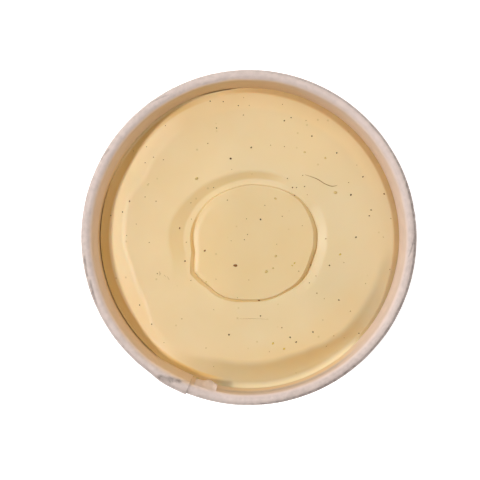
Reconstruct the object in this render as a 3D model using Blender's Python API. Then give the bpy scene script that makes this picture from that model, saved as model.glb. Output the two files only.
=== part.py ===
"""Paperboard ice cream tub, lid off, filled with vanilla ice cream to just under its rolled rim.

The tub is made as the real one is: a tapered sleeve of board whose ends lap in a side seam, whose
top is rolled outwards into a rim and whose foot is folded up round the skirt of a recessed bottom
disc. The ice cream is one solid down to that disc. Its top has the round plug that the filling
nozzle leaves, with a crease and a shallow moat round it, a flat field, and a bevel down to the board.

Metres, +Z up, standing on Z = 0 round the Z axis. Angles are in degrees from +X towards +Y.
"""

import math
import random

import bmesh
import bpy
from mathutils import Euler, Vector

MM = 0.001

# Tub
HEIGHT = 98 * MM
RIM_DIAMETER = 98 * MM
BASE_DIAMETER = 78 * MM
BOARD = 0.45 * MM
CURL_DIAMETER = 3.2 * MM
CURL_END = -120.0
CURL_STEP = 30.0
FOOT_RECESS = 8.0 * MM
HEM_HEIGHT = 6.4 * MM
FOLD_RADIUS = 0.5 * MM
DISC_CORNER = 0.9 * MM
GAP = 0.3 * MM

# Side seam: the lap ends at the cut edge, and a loose tongue of the inner ply stands off beside it
LAP_CLIMB = 232.0
LAP_HIDDEN_EDGE = 240.0
LAP_CUT_EDGE = 248.0
TONGUE_ROOT = 250.7
TONGUE_TIP = 257.5
TONGUE_LIFT = 1.6 * MM
TONGUE_RISE = 2.5 * MM
STEP_ANGLE = 0.3

# Ice cream
FILL_DEPTH = 10.5 * MM
PLUG_CENTRE = Vector((1.6 * MM, -1.6 * MM))
PLUG_RADII = (18.4 * MM, 17.3 * MM)
PLUG_CORNER = 2.1 * MM
PLUG_CORNER_AT = 204.0
PLUG_DOME = 0.15 * MM
PLUG_SHOULDER = 3.0 * MM
PLUG_SHOULDER_DROP = 0.35 * MM
CREASE_DEPTH = 0.7 * MM
CREASE_HALF_WIDTH = 0.55 * MM
MOAT_DEPTH = 0.65 * MM
MOAT_FLOOR = 1.5 * MM
MOAT_SLOPE = 2.8 * MM
FIELD_CENTRE = Vector((1.2 * MM, 0.6 * MM))
FIELD_RADIUS = 37.6 * MM
SHOULDER_WIDTH = 1.7 * MM
SHOULDER_DROP = 1.2 * MM
MENISCUS_WIDTH = 3.0 * MM
MENISCUS_RISE = 1.0 * MM

# Vanilla grains, fused to the ice cream's top: the plain ones as (x, y, length) in mm, then fine ones
LARGE_GRAINS = (
    (-4.2, -8.4, 1.3), (-13.3, -4.0, 0.8), (-5.6, 23.6, 0.8), (0.5, 26.9, 0.7),
    (10.4, 34.9, 0.8), (18.6, 30.3, 0.7), (26.1, 25.3, 0.7), (30.3, 12.7, 0.7),
    (31.8, 0.1, 0.8), (23.9, -8.4, 0.7), (26.7, -18.7, 0.8), (3.3, 5.4, 0.7),
    (-19.2, -7.1, 0.8), (-35.8, 10.8, 0.8), (-6.1, -29.0, 0.8), (13.9, -31.2, 0.8),
)
FINE_GRAINS = 32
FINE_GRAIN = 0.6 * MM
GRAIN_FIELD = 41.0 * MM
GRAIN_SEED = 7

COLUMN_STEP = 5.0
COLOURS = {"paperboard": "#DFD1C8", "bottom_board": "#E3D8D0", "vanilla_ice_cream": "#E6C894"}

BASE_RADIUS = BASE_DIAMETER / 2
CURL_RADIUS = CURL_DIAMETER / 2
CURL_CENTRE = Vector((RIM_DIAMETER / 2 - CURL_RADIUS, HEIGHT - CURL_RADIUS))
FILL_LEVEL = HEIGHT - FILL_DEPTH
TONGUE_FOOT = FILL_LEVEL - 0.8 * MM
SLEEVE_SLOPE = (CURL_CENTRE.x - CURL_RADIUS + BOARD - BASE_RADIUS) / CURL_CENTRE.y


def smooth(share):
    """0 to 1 with level ends, as share goes from 0 to 1."""
    share = min(1.0, max(0.0, share))
    return share * share * (3 - 2 * share)


def turn_between(angle, other):
    """The unsigned angle between two directions, 0 to 180 degrees."""
    return abs((angle - other + 180.0) % 360.0 - 180.0)


def lobe(angle, centre, half_width):
    """1 at centre, falling to 0 at twice half_width either side."""
    return smooth(1.0 - turn_between(angle, centre) / (2 * half_width))


def around(angle, radius, z):
    return Vector((radius * math.cos(math.radians(angle)), radius * math.sin(math.radians(angle)), z))


def direction_of(point):
    return math.degrees(math.atan2(point.y, point.x)) % 360.0


# Side seam and tongue


def lap_inside(angle):
    """How far the board's inner face stands in at the seam, where one end lies over the other."""
    if angle > LAP_CUT_EDGE:
        return 0.0
    return BOARD * smooth((angle - LAP_CLIMB) / (LAP_HIDDEN_EDGE - LAP_CLIMB))


def lap_outside(angle):
    """How far the board's outer face is drawn in beside the hidden edge of the under end."""
    if angle > LAP_HIDDEN_EDGE:
        return 0.0
    return BOARD * smooth((angle - LAP_CLIMB) / (LAP_HIDDEN_EDGE - LAP_CLIMB))


def tongue_lift(angle, z):
    """How far the loose tongue of board stands in from the sleeve, from the rim to the ice cream."""
    if not TONGUE_ROOT < angle <= TONGUE_TIP:
        return 0.0
    along = (angle - TONGUE_ROOT) / (TONGUE_TIP - TONGUE_ROOT)
    up = smooth((z - TONGUE_FOOT) / TONGUE_RISE)
    return TONGUE_LIFT * along * up


def outer_face(z):
    return BASE_RADIUS + SLEEVE_SLOPE * z


def inner_face(angle, z):
    """Radius of the sleeve's inner face, with its lap."""
    return outer_face(z) - BOARD - lap_inside(angle)


# Board pieces


def curl_angles():
    steps = round((180.0 - CURL_END) / CURL_STEP)
    return [180.0 - CURL_STEP * k for k in range(steps + 1)]


def curl_point(turn, radius):
    return CURL_CENTRE + radius * Vector((math.cos(math.radians(turn)), math.sin(math.radians(turn))))


def curl_skin(angle):
    """The rolled rim's outside, from the sleeve's inner face over the top to the roll's end."""
    points = []
    for turn in curl_angles():
        rise = smooth((turn - 90.0) / 90.0)
        lift = lap_inside(angle) + rise * tongue_lift(angle, CURL_CENTRE.y)
        points.append(curl_point(turn, CURL_RADIUS + lift))
    return points


def curl_lining(angle):
    """The roll's own hollow side, from the roll's end back to the sleeve's outer face."""
    radius = CURL_RADIUS - BOARD + lap_outside(angle)
    return [curl_point(turn, radius) for turn in reversed(curl_angles())]


def sleeve_section(angle):
    """The sleeve's closed outline at one angle, as (radius, height) points."""

    def hem_inner(z):
        return inner_face(angle, z) - 2 * GAP - 2 * BOARD

    inner_heights = [TONGUE_FOOT + share * TONGUE_RISE for share in (0.0, 0.5, 1.0)]
    inner_wall = [
        Vector((inner_face(angle, z) - tongue_lift(angle, z), z)) for z in inner_heights
    ]
    drawn_in = lap_outside(angle)
    outer_wall = [Vector((outer_face(z) - drawn_in, z)) for z in (FOOT_RECESS, FOLD_RADIUS)]
    knee = FOLD_RADIUS * (1 - math.sqrt(0.5))
    fold = [
        Vector((outer_face(0) - drawn_in - knee, knee)),
        Vector((outer_face(0) - drawn_in - FOLD_RADIUS, 0)),
        Vector((hem_inner(0) + FOLD_RADIUS, 0)),
        Vector((hem_inner(0) + knee, knee)),
        Vector((hem_inner(FOLD_RADIUS), FOLD_RADIUS)),
    ]
    hem = [
        Vector((hem_inner(HEM_HEIGHT), HEM_HEIGHT)),
        Vector((hem_inner(HEM_HEIGHT) + BOARD, HEM_HEIGHT)),
        Vector((hem_inner(BOARD) + BOARD, BOARD)),
        Vector((inner_face(angle, BOARD), BOARD)),
    ]
    return inner_wall + curl_skin(angle) + curl_lining(angle) + outer_wall + fold + hem


def disc_rings():
    """The bottom disc's rings, from its top face over the corner, down and up its skirt."""
    top = FOOT_RECESS
    skirt_foot = BOARD + GAP + 0.35 * MM
    bend = [90.0, 45.0, 0.0]

    def ring(z, inset):
        return [around(a, inner_face(a, z) - GAP - inset, z) for a in columns()]

    def corner(radius):
        centre = top - DISC_CORNER
        return [
            ring(
                centre + radius * math.sin(math.radians(turn)),
                DISC_CORNER - radius * math.cos(math.radians(turn)),
            )
            for turn in bend
        ]

    outside = corner(DISC_CORNER)
    inside = corner(DISC_CORNER - BOARD)
    return outside + [ring(skirt_foot, 0.0), ring(skirt_foot, BOARD)] + inside[::-1]


# Ice cream's top


def plug_edge(turn):
    """Radius of the plug's outline round its own centre: an oval with one drawn-out corner."""
    a, b = PLUG_RADII
    c, s = math.cos(math.radians(turn)), math.sin(math.radians(turn))
    corner = PLUG_CORNER * max(0.0, 1 - turn_between(turn, PLUG_CORNER_AT) / 38.0) ** 1.5
    return 1 / math.hypot(c / a, s / b) + corner


def moat_share(turn):
    """The moat runs round the plug but for its lower side."""
    return smooth((turn_between(turn, 265.0) - 45.0) / 30.0)


def moat_floor(turn):
    return MOAT_FLOOR * (1 - 0.8 * lobe(turn, 0.0, 40.0))


def moat_slope(turn):
    return MOAT_SLOPE * (1 + 0.9 * lobe(turn, 178.0, 32.0))


def near_plug(point):
    """Height over the field that the plug, its crease and its moat add at a point."""
    arm = point - PLUG_CENTRE
    turn = direction_of(arm)
    beyond = arm.length - plug_edge(turn)
    crease_share = 1 - 0.8 * lobe(turn, 105.0, 35.0)
    crease = -CREASE_DEPTH * crease_share * max(0.0, 1 - abs(beyond) / CREASE_HALF_WIDTH)
    if beyond <= 0:
        shoulder = max(0.0, 1 + beyond / PLUG_SHOULDER) ** 2
        return PLUG_DOME - PLUG_SHOULDER_DROP * shoulder + crease
    depth = MOAT_DEPTH * (1 + 0.5 * lobe(turn, 178.0, 32.0)) * moat_share(turn)
    climb = smooth((beyond - moat_floor(turn)) / moat_slope(turn))
    return (PLUG_DOME - PLUG_SHOULDER_DROP - depth) * (1 - climb) + crease


def near_board(point, wall):
    """Fall of the bevel round the field, and the turned-down or drawn-up edge at the board."""
    angle = direction_of(point)
    arm = point - FIELD_CENTRE
    wave = 0.5 * MM * math.sin(math.radians(5 * angle + 40.0))
    beyond = max(0.0, arm.length - FIELD_RADIUS - wave)
    slope = 0.06 + 0.17 * lobe(angle, 183.0, 38.0) + 0.24 * lobe(angle, 298.0, 26.0)
    bevel = -slope * beyond * smooth(beyond / (1.2 * MM))
    to_wall = wall - point.length
    drawn_up = lobe(angle, 288.0, 30.0)
    shoulder = -SHOULDER_DROP * max(0.0, 1 - to_wall / SHOULDER_WIDTH) ** 2
    meniscus = MENISCUS_RISE * max(0.0, 1 - to_wall / MENISCUS_WIDTH) ** 2
    return bevel + (1 - drawn_up) * shoulder + drawn_up * meniscus


def surface_height(point):
    """Height of the ice cream's top over the base plane."""
    angle = direction_of(point)
    wall = inner_face(angle, FILL_LEVEL) - GAP
    return FILL_LEVEL + near_plug(point) + near_board(point, wall)


def on_surface(point):
    return Vector((point.x, point.y, surface_height(point)))


def top_rings():
    """Rings of the ice cream's top, from the board inwards to the middle of the plug."""
    moat_places = (1.0, 0.5, 0.0)
    plug_places = (0.95, 0.86, 0.55, 0.2)
    rings = []
    for inset in (0.0, 0.5, 1.1, 1.9, 3.6, 5.6, 8.0, 14.0):
        ring = []
        for angle in columns():
            radius = inner_face(angle, FILL_LEVEL) - GAP - inset * MM
            ring.append(around(angle, radius, 0).to_2d())
        rings.append(ring)
    for place in moat_places:
        rings.append(plug_ring(lambda turn, place=place: moat_floor(turn) + place * moat_slope(turn)))
    rings.append(plug_ring(lambda turn: CREASE_HALF_WIDTH))
    rings.append(plug_ring(lambda turn: 0.0))
    rings.append(plug_ring(lambda turn: -CREASE_HALF_WIDTH))
    for place in plug_places:
        rings.append(plug_ring(lambda turn, place=place: (place - 1) * plug_edge(turn)))
    return [[on_surface(point) for point in ring] for ring in rings]


def plug_ring(offset):
    """Points round the plug, each that far beyond its outline."""
    ring = []
    for angle in columns():
        reach = plug_edge(angle) + offset(angle)
        ring.append(PLUG_CENTRE + around(angle, reach, 0).to_2d())
    return ring


def side_ring(z):
    return [around(a, inner_face(a, z) - GAP, z) for a in columns()]


# Building


def columns():
    """Angles of the mesh's columns: an even round, and a close pair at each cut edge of the board."""
    edges = (LAP_HIDDEN_EDGE, LAP_CUT_EDGE, TONGUE_TIP)
    special = [LAP_CLIMB, TONGUE_ROOT] + [e + d for e in edges for d in (0.0, STEP_ANGLE)]
    even = [COLUMN_STEP * k for k in range(round(360.0 / COLUMN_STEP))]
    clear = [a for a in even if min(turn_between(a, s) for s in special) > COLUMN_STEP / 4]
    return sorted(clear + special)


def linear(hex_colour):
    """Linear red, green, blue and alpha from an sRGB hex colour."""
    channels = [int(hex_colour[k : k + 2], 16) / 255 for k in (1, 3, 5)]
    return [c / 12.92 if c <= 0.04045 else ((c + 0.055) / 1.055) ** 2.4 for c in channels] + [1.0]


def finish_material(name, roughness):
    material = bpy.data.materials.new(name)
    material.use_nodes = True
    shader = material.node_tree.nodes["Principled BSDF"]
    shader.inputs["Base Color"].default_value = linear(COLOURS[name])
    shader.inputs["Roughness"].default_value = roughness
    shader.inputs["Metallic"].default_value = 0.0
    return material


def extrude_ring(bm, ring, places):
    """Extrudes a closed ring of vertices and moves the new ring to places, in the same order."""
    edges = [bm.edges.get((v, ring[k - 1])) for k, v in enumerate(ring)]
    made = bmesh.ops.extrude_edge_only(bm, edges=edges)["geom"]
    fresh = {v for v in made if isinstance(v, bmesh.types.BMVert)}
    following = []
    for vertex, place in zip(ring, places):
        copy = next(e.other_vert(vertex) for e in vertex.link_edges if e.other_vert(vertex) in fresh)
        copy.co = place
        following.append(copy)
    return following


def loft(name, sections, material, closed):
    """A solid through rings of points: closed on itself, or capped at both ends."""
    bm = bmesh.new()
    first = [bm.verts.new(place) for place in sections[0]]
    for k, vertex in enumerate(first):
        bm.edges.new((vertex, first[k - 1]))
    ring = first
    for places in sections[1:]:
        ring = extrude_ring(bm, ring, places)
    if closed:
        extrude_ring(bm, ring, sections[0])
        bmesh.ops.remove_doubles(bm, verts=bm.verts, dist=0.001 * MM)
    else:
        bm.faces.new(first)
        cap = bm.faces.new(ring)
        bmesh.ops.poke(bm, faces=[cap])
    bmesh.ops.recalc_face_normals(bm, faces=bm.faces)
    mesh = bpy.data.meshes.new(name)
    bm.to_mesh(mesh)
    bm.free()
    mesh.materials.append(material)
    mesh.shade_smooth()
    mesh.set_sharp_from_angle(angle=math.radians(35))
    solid = bpy.data.objects.new(name, mesh)
    bpy.context.scene.collection.objects.link(solid)
    return solid


def build_sleeve():
    sections = [
        [around(angle, point.x, point.y) for point in sleeve_section(angle)] for angle in columns()
    ]
    return loft("board_sleeve", sections, finish_material("paperboard", 0.6), closed=True)


def build_bottom_disc():
    return loft("bottom_disc", disc_rings(), finish_material("bottom_board", 0.6), closed=False)


def build_ice_cream():
    foot = FOOT_RECESS + GAP
    rings = [side_ring(foot)] + top_rings()
    ice_cream = loft(
        "ice_cream", rings, finish_material("vanilla_ice_cream", 0.45), closed=False
    )
    fuse_grains(ice_cream)
    return ice_cream


def grain_places(draw):
    """Place and length of each grain, largest first."""
    for x, y, length in sorted(LARGE_GRAINS, key=lambda grain: -grain[2]):
        yield Vector((x, y)) * MM, length * MM
    golden = math.degrees(math.pi * (3 - math.sqrt(5)))
    for k in range(FINE_GRAINS):
        spread = GRAIN_FIELD * math.sqrt((k + 0.5) / FINE_GRAINS)
        yield around(golden * k + draw.uniform(-9, 9), spread, 0).to_2d(), FINE_GRAIN


def build_grain(place, length, draw):
    bm = bmesh.new()
    bmesh.ops.create_icosphere(bm, subdivisions=1, radius=length / 2)
    mesh = bpy.data.meshes.new("grain")
    bm.to_mesh(mesh)
    bm.free()
    grain = bpy.data.objects.new("grain", mesh)
    grain.location = on_surface(place)
    grain.scale = (1.0, draw.uniform(0.7, 1.0), 0.55)
    grain.rotation_euler = Euler((0, 0, draw.uniform(0, math.tau)))
    return grain


def fuse_grains(ice_cream):
    """Joins small flattened grains, sunk by half, to the ice cream's top."""
    grains = bpy.data.collections.new("grains")
    bpy.context.scene.collection.children.link(grains)
    draw = random.Random(GRAIN_SEED)
    for place, length in grain_places(draw):
        grains.objects.link(build_grain(place, length, draw))
    union = ice_cream.modifiers.new("grains", "BOOLEAN")
    union.operation = "UNION"
    union.operand_type = "COLLECTION"
    union.collection = grains
    union.solver = "EXACT"
    with bpy.context.temp_override(object=ice_cream):
        bpy.ops.object.modifier_apply(modifier=union.name)
    for grain in list(grains.objects):
        bpy.data.objects.remove(grain)
    bpy.data.collections.remove(grains)


def main():
    for old in list(bpy.data.objects):
        bpy.data.objects.remove(old)
    build_sleeve()
    build_bottom_disc()
    build_ice_cream()


main()
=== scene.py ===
"""Looks of the paperboard ice cream tub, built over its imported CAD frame.

Every length is in metres in the CAD's own frame: +Z up, the tub standing on Z = 0 round the Z axis.
Angles run from +X towards +Y, which is to the right and to the top as the camera looks down.
"""

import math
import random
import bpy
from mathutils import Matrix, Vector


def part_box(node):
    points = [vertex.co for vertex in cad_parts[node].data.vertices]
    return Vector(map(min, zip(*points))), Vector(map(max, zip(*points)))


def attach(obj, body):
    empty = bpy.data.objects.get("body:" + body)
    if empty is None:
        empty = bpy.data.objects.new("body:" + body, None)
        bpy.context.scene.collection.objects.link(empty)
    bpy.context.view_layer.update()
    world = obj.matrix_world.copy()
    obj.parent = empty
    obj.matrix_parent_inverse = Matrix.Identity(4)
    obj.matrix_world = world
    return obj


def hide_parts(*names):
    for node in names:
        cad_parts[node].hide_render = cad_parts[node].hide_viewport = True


bl_info = {
    "name": "Ice Cream Tub",
    "version": (1, 0, 0),
    "blender": (4, 5, 0),
    "location": "3D View > Sidebar > Ice Cream Tub",
    "description": "Models a paperboard tub of vanilla ice cream and lights it as seen from above",
    "category": "Add Mesh",
}

from functools import partial

import bpy
import bmesh
from bpy.props import FloatProperty, FloatVectorProperty, IntProperty, PointerProperty
from mathutils import Vector, noise

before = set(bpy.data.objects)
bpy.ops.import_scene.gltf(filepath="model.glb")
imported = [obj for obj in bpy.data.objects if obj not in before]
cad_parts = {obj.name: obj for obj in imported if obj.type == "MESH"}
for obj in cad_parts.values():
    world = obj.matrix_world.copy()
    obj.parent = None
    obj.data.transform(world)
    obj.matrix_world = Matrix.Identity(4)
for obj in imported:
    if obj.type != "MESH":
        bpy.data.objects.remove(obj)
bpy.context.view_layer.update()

MM = 0.001
RIM_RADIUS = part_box("board_sleeve")[1].x
DISC_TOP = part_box("bottom_disc")[1].z
CREAM_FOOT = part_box("ice_cream")[0].z
WHITE = (1.0, 1.0, 1.0, 1.0)
# What is spun goes round the tub's own axis
TUB_AXIS = {"center": (0, 0, 0), "axis": (0, 0, 1)}
# Edges of the board that turn by more than this stay sharp
BOARD_SHARP = math.radians(40)


def linear(hex_colour):
    """Linear red, green and blue from an sRGB hex colour."""
    channels = [int(hex_colour[k : k + 2], 16) / 255 for k in (1, 3, 5)]
    return tuple(c / 12.92 if c <= 0.04045 else ((c + 0.055) / 1.055) ** 2.4 for c in channels)


def length(name, description, default):
    return FloatProperty(name=name, description=description, default=default, unit="LENGTH", precision=5)


def amount(name, description, default):
    return FloatProperty(name=name, description=description, default=default, min=0.0)


def turn(name, description, degrees):
    return FloatProperty(
        name=name,
        description=description,
        default=math.radians(degrees),
        subtype="ANGLE",
        unit="ROTATION",
    )


def colour(name, description, hex_colour):
    return FloatVectorProperty(
        name=name,
        description=description,
        default=linear(hex_colour),
        subtype="COLOR",
        size=3,
        min=0.0,
        max=1.0,
    )


class TubShape(bpy.types.PropertyGroup):
    """Sizes of the board tub"""

    rim_radius: length("Rim radius", "Outside radius of the rolled rim", RIM_RADIUS)
    height: length("Height", "Height of the rim's top over the table", 98 * MM)
    foot_radius: length("Foot radius", "Outside radius of the sleeve at the table", 39 * MM)
    board: length("Board", "Thickness of the board", 0.43 * MM)
    roll_radius: length("Roll radius", "Radius of the rim's roll", 1.6 * MM)
    film: length("Film", "Thickest film of ice cream on the board over the fill", 0.25 * MM)
    disc_top: length("Disc top", "Height of the bottom disc's upper face", DISC_TOP)
    hem_height: length("Hem height", "Height that the folded-up foot reaches", 6.4 * MM)
    hidden_edge: turn("Hidden edge", "Where the under end of the lapped seam lies", 240.3)
    cut_edge: turn("Cut edge", "Where the upper end of the lapped seam stops", 248.0)
    lap_climb: turn("Lap climb", "Turn over which the upper end climbs over the under one", 8.0)
    tongue_root: turn("Tongue root", "Where the loose tongue of board leaves the wall", 249.6)
    tongue_tip: turn("Tongue tip", "Where the loose tongue of board ends", 257.9)
    tongue_lift: length("Tongue lift", "How far the tongue's free edge stands off", 1.3 * MM)
    columns: IntProperty(
        name="Columns", description="Columns of faces round the tub", default=560, min=48, max=800
    )


class IceCreamShape(bpy.types.PropertyGroup):
    """Sizes of the ice cream"""

    level: length("Level", "Height of the flat field over the table", 87.5 * MM)
    plug_x: length("Plug X", "Plug's centre to the right of the tub's axis", 1.8 * MM)
    plug_y: length("Plug Y", "Plug's centre above the tub's axis", -1.6 * MM)
    plug_corner: length("Plug corner", "How far the plug's corner is drawn out", 1.9 * MM)
    plug_dome: length("Plug dome", "Height of the plug's middle over the field", 0.15 * MM)
    crease_slope: amount("Crease slope", "Steepness of the crease's broad side", 0.75)
    bevel_slope: amount("Bevel slope", "Steepness of the bevel on the left", 0.34)
    shoulder_slope: amount("Shoulder slope", "Steepness of the shoulder on the right", 0.85)
    meniscus_slope: amount("Meniscus slope", "How steeply it is drawn up the board", 1.4)
    columns: IntProperty(
        name="Columns", description="Columns of faces round the ice cream", default=400, min=90
    )


class TubColours(bpy.types.PropertyGroup):
    """Colours of board, ice cream and vanilla"""

    board: colour("Board", "Coated board in full light", "#F4DFD5")
    board_speck: colour("Board fibre", "Fibres and dust in the board", "#DCC8BE")
    # Partly painted light reflected from the ice cream
    film: colour("Film", "Board under a film of softened ice cream", "#F9D4A2")
    # Grey of the board, also used as painted shade on the rim and the wall
    grime_and_shade: colour("Grime", "Board greyed by handling", "#8F8078")
    # The darker, greyer tone, painted shade where the paler tone's share is low
    cream: colour("Ice cream", "Vanilla ice cream where it is dense", "#B8B298")
    # The paler tone, painted light
    cream_lit_tone: colour("Airy", "Vanilla ice cream with more air beaten into it", "#F3D7A4")
    # Partly real, partly painted shade in the rim's cast shadow and on shaded slopes
    cream_edge: colour("Softened", "Ice cream that has softened and frozen again", "#E4BB72")
    # Painted highlight on the bevel and the wet meniscus, and painted light in a shaded corner
    cream_highlight: colour("Thinned", "Ice cream drawn thin over the board", "#FFE6B8")
    seed: colour("Vanilla seed", "Seed clumps at the surface", "#482804")
    pod: colour("Pod flake", "Reddish flakes of ground pod", "#7A4A1C")
    sunk: colour("Sunk seed", "Seeds seen through a film of ice cream", "#C2A468")
    olive: colour("Olive flake", "Pale flakes of the pod's flesh", "#BFA03E")
    fibre: colour("Fibre", "Fine hair-like strips of the pod's skin", "#8A6436")
    floor: colour("Floor", "The pale floor", "#F4F4F4")


class Studio(bpy.types.PropertyGroup):
    """The studio's light and its camera"""

    key: amount("Key", "Strength of the key light", 1.38)
    key_from: turn("Key from", "Direction that the key light comes from", 183.0)
    key_height: turn("Key height", "Height of the key light over the horizon", 66.0)
    key_size: turn("Key size", "Width of the key light as seen from the tub", 5.0)
    right_fill: amount("Right fill", "Strength of the right screen", 0.62)
    right_from: turn("Right from", "Direction of the right screen", 350.0)
    right_height: turn("Right height", "Height of the right screen over the horizon", 45.0)
    top_fill: amount("Top fill", "Strength of the upper screen", 0.6)
    top_from: turn("Top from", "Direction of the upper screen", 42.0)
    top_height: turn("Top height", "Height of the upper screen over the horizon", 65.0)
    upper_wash: amount("Upper wash", "Strength of the low upper screen", 0.32)
    upper_from: turn("Upper from", "Direction of the low upper screen", 96.0)
    left_wash: amount("Left wash", "Strength of the low left screen", 0.58)
    left_from: turn("Left from", "Direction of the low left screen", 185.0)
    back_wash: amount("Back wash", "Strength of the low back screen", 0.48)
    back_from: turn("Back from", "Direction of the low back screen", 140.0)
    wash_height: turn("Wash height", "Height of the low screens over the horizon", 25.0)
    screen_size: turn("Screen size", "Width of the screens as seen from the tub", 40.0)
    room: amount("Room", "Strength of the light from all round", 0.04)
    floor_glow: amount("Floor glow", "How strongly the floor is lit from beneath", 0.6)
    camera_rise: length("Camera rise", "Height of the camera over the rim", 450 * MM)
    camera_x: length("Camera X", "How far the camera stands right of the tub's axis", -2.61 * MM)
    camera_y: length("Camera Y", "How far the camera stands above the tub's axis", -0.72 * MM)
    view_width: length("View width", "Width that the camera sees at the rim", 139.5 * MM)


# Shared helpers


def smooth(share):
    """0 to 1 with level ends, as share goes from 0 to 1."""
    share = min(1.0, max(0.0, share))
    return share * share * (3 - 2 * share)


def turn_between(angle, other):
    """The unsigned angle between two directions in degrees, 0 to 180."""
    return abs((angle - other + 180.0) % 360.0 - 180.0)


def bend(beyond, rounding):
    """0 before an edge and beyond after it, rounded over rounding either side."""
    if beyond <= -rounding:
        return 0.0
    if beyond >= rounding:
        return beyond
    return (beyond + rounding) ** 2 / (4 * rounding)


def fall(reach, slopes):
    """Height gained from the first stop on, where slopes are pairs of a distance and the slope there."""
    height = 0.0
    for (near, slope), (far, other) in zip(slopes, slopes[1:]):
        if reach <= near:
            break
        run = min(reach, far) - near
        height += run * (slope + (other - slope) * run / (far - near) / 2)
    return height


def stretch(angle, start, full, last, end):
    """1 from full to last and 0 outside start to end, in degrees round the tub."""
    past = (angle - start) % 360.0
    if past > end - start:
        return 0.0
    return min(smooth(past / (full - start)), smooth((end - start - past) / (end - last)))


def round_the_tub(angle, stops):
    """Value at an angle between the stops, pairs of degrees and value that close on themselves."""
    angle %= 360.0
    closed = stops + ((stops[0][0] + 360.0, stops[0][1]),)
    if angle < closed[0][0]:
        angle += 360.0
    for (low, value), (high, other) in zip(closed, closed[1:]):
        if angle <= high:
            return value + smooth((angle - low) / (high - low)) * (other - value)
    return closed[-1][1]


def paint(piece, name, share_of):
    """Gives every point of a piece a share that its material reads by this name."""
    layer = piece.data.attributes.new(name, "FLOAT", "POINT")
    layer.data.foreach_set("value", [share_of(point.co) for point in piece.data.vertices])


def direction_of(point):
    return math.degrees(math.atan2(point.y, point.x)) % 360.0


def around(angle, radius, z=0.0):
    return Vector((radius * math.cos(math.radians(angle)), radius * math.sin(math.radians(angle)), z))


def start_fresh():
    """Object mode with nothing selected."""
    if bpy.context.object and bpy.context.object.mode != "OBJECT":
        bpy.ops.object.mode_set(mode="OBJECT")
    bpy.ops.object.select_all(action="DESELECT")


def select_points(chosen):
    """In edit mode, selects the points whose place the test accepts, and no others."""
    bpy.ops.mesh.select_mode(type="VERT")
    bpy.ops.mesh.select_all(action="DESELECT")
    mesh = bmesh.from_edit_mesh(bpy.context.object.data)
    for point in mesh.verts:
        if chosen(point.co):
            point.select = True
    mesh.select_flush(True)
    bmesh.update_edit_mesh(bpy.context.object.data)


def turn_faces_outwards():
    """Leaves the active object in object mode with its faces pointing outwards."""
    bpy.ops.object.mode_set(mode="EDIT")
    bpy.ops.mesh.select_all(action="SELECT")
    bpy.ops.mesh.normals_make_consistent(inside=False)
    bpy.ops.object.mode_set(mode="OBJECT")


def join_smooth(made):
    """Joins objects into one that is smooth and has its place in its mesh."""
    for piece in made:
        piece.select_set(True)
    bpy.context.view_layer.objects.active = made[0]
    bpy.ops.object.join()
    bpy.ops.object.transform_apply()
    bpy.ops.object.shade_smooth()


def apply_modifier(kind, **settings):
    modifier = bpy.context.object.modifiers.new(kind.title(), kind)
    for name, value in settings.items():
        setattr(modifier, name, value)
    bpy.ops.object.modifier_apply(modifier=modifier.name)


def finish_piece(name, material, node):
    """Names the active object, gives it its material and stands it in for a CAD node."""
    start_fresh()
    piece = bpy.context.object
    piece.name = name
    piece.data.name = name
    piece.data.materials.clear()
    piece.data.materials.append(material)
    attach(piece, "root")
    if node:
        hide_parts(node)


# Materials


# Sockets of a colour Mix node: its share, the colour at 0, the colour at 1, and its result
SHARE, BASE, OVER = 0, 6, 7
MIXED = 2
# Most of a noise texture's values lie between these
NOISE_RANGE = {"From Min": 0.35, "From Max": 0.65}


def feed(material, node, inputs):
    """Gives inputs of a node a plain value each, or a link from the output that feeds it."""
    for name, value in inputs.items():
        if isinstance(value, bpy.types.NodeSocket):
            material.node_tree.links.new(value, node.inputs[name])
        else:
            node.inputs[name].default_value = value


def add_node(material, kind, inputs=None, **settings):
    """Adds a shader node of a kind, with its own settings and its inputs."""
    node = material.node_tree.nodes.new("ShaderNode" + kind)
    for name, value in settings.items():
        setattr(node, name, value)
    feed(material, node, inputs or {})
    return node


def new_material(name):
    """A material, what adds a node to it, and the output that reads the piece's own place."""
    material = bpy.data.materials.new(name)
    material.use_nodes = True
    add = partial(add_node, material)
    return material, add, add("TexCoord").outputs["Object"]


def finish_material(material, inputs):
    """Feeds the material's Principled shader."""
    feed(material, material.node_tree.nodes["Principled BSDF"], inputs)
    return material


def opaque(rgb):
    return (*rgb, 1.0)


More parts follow.
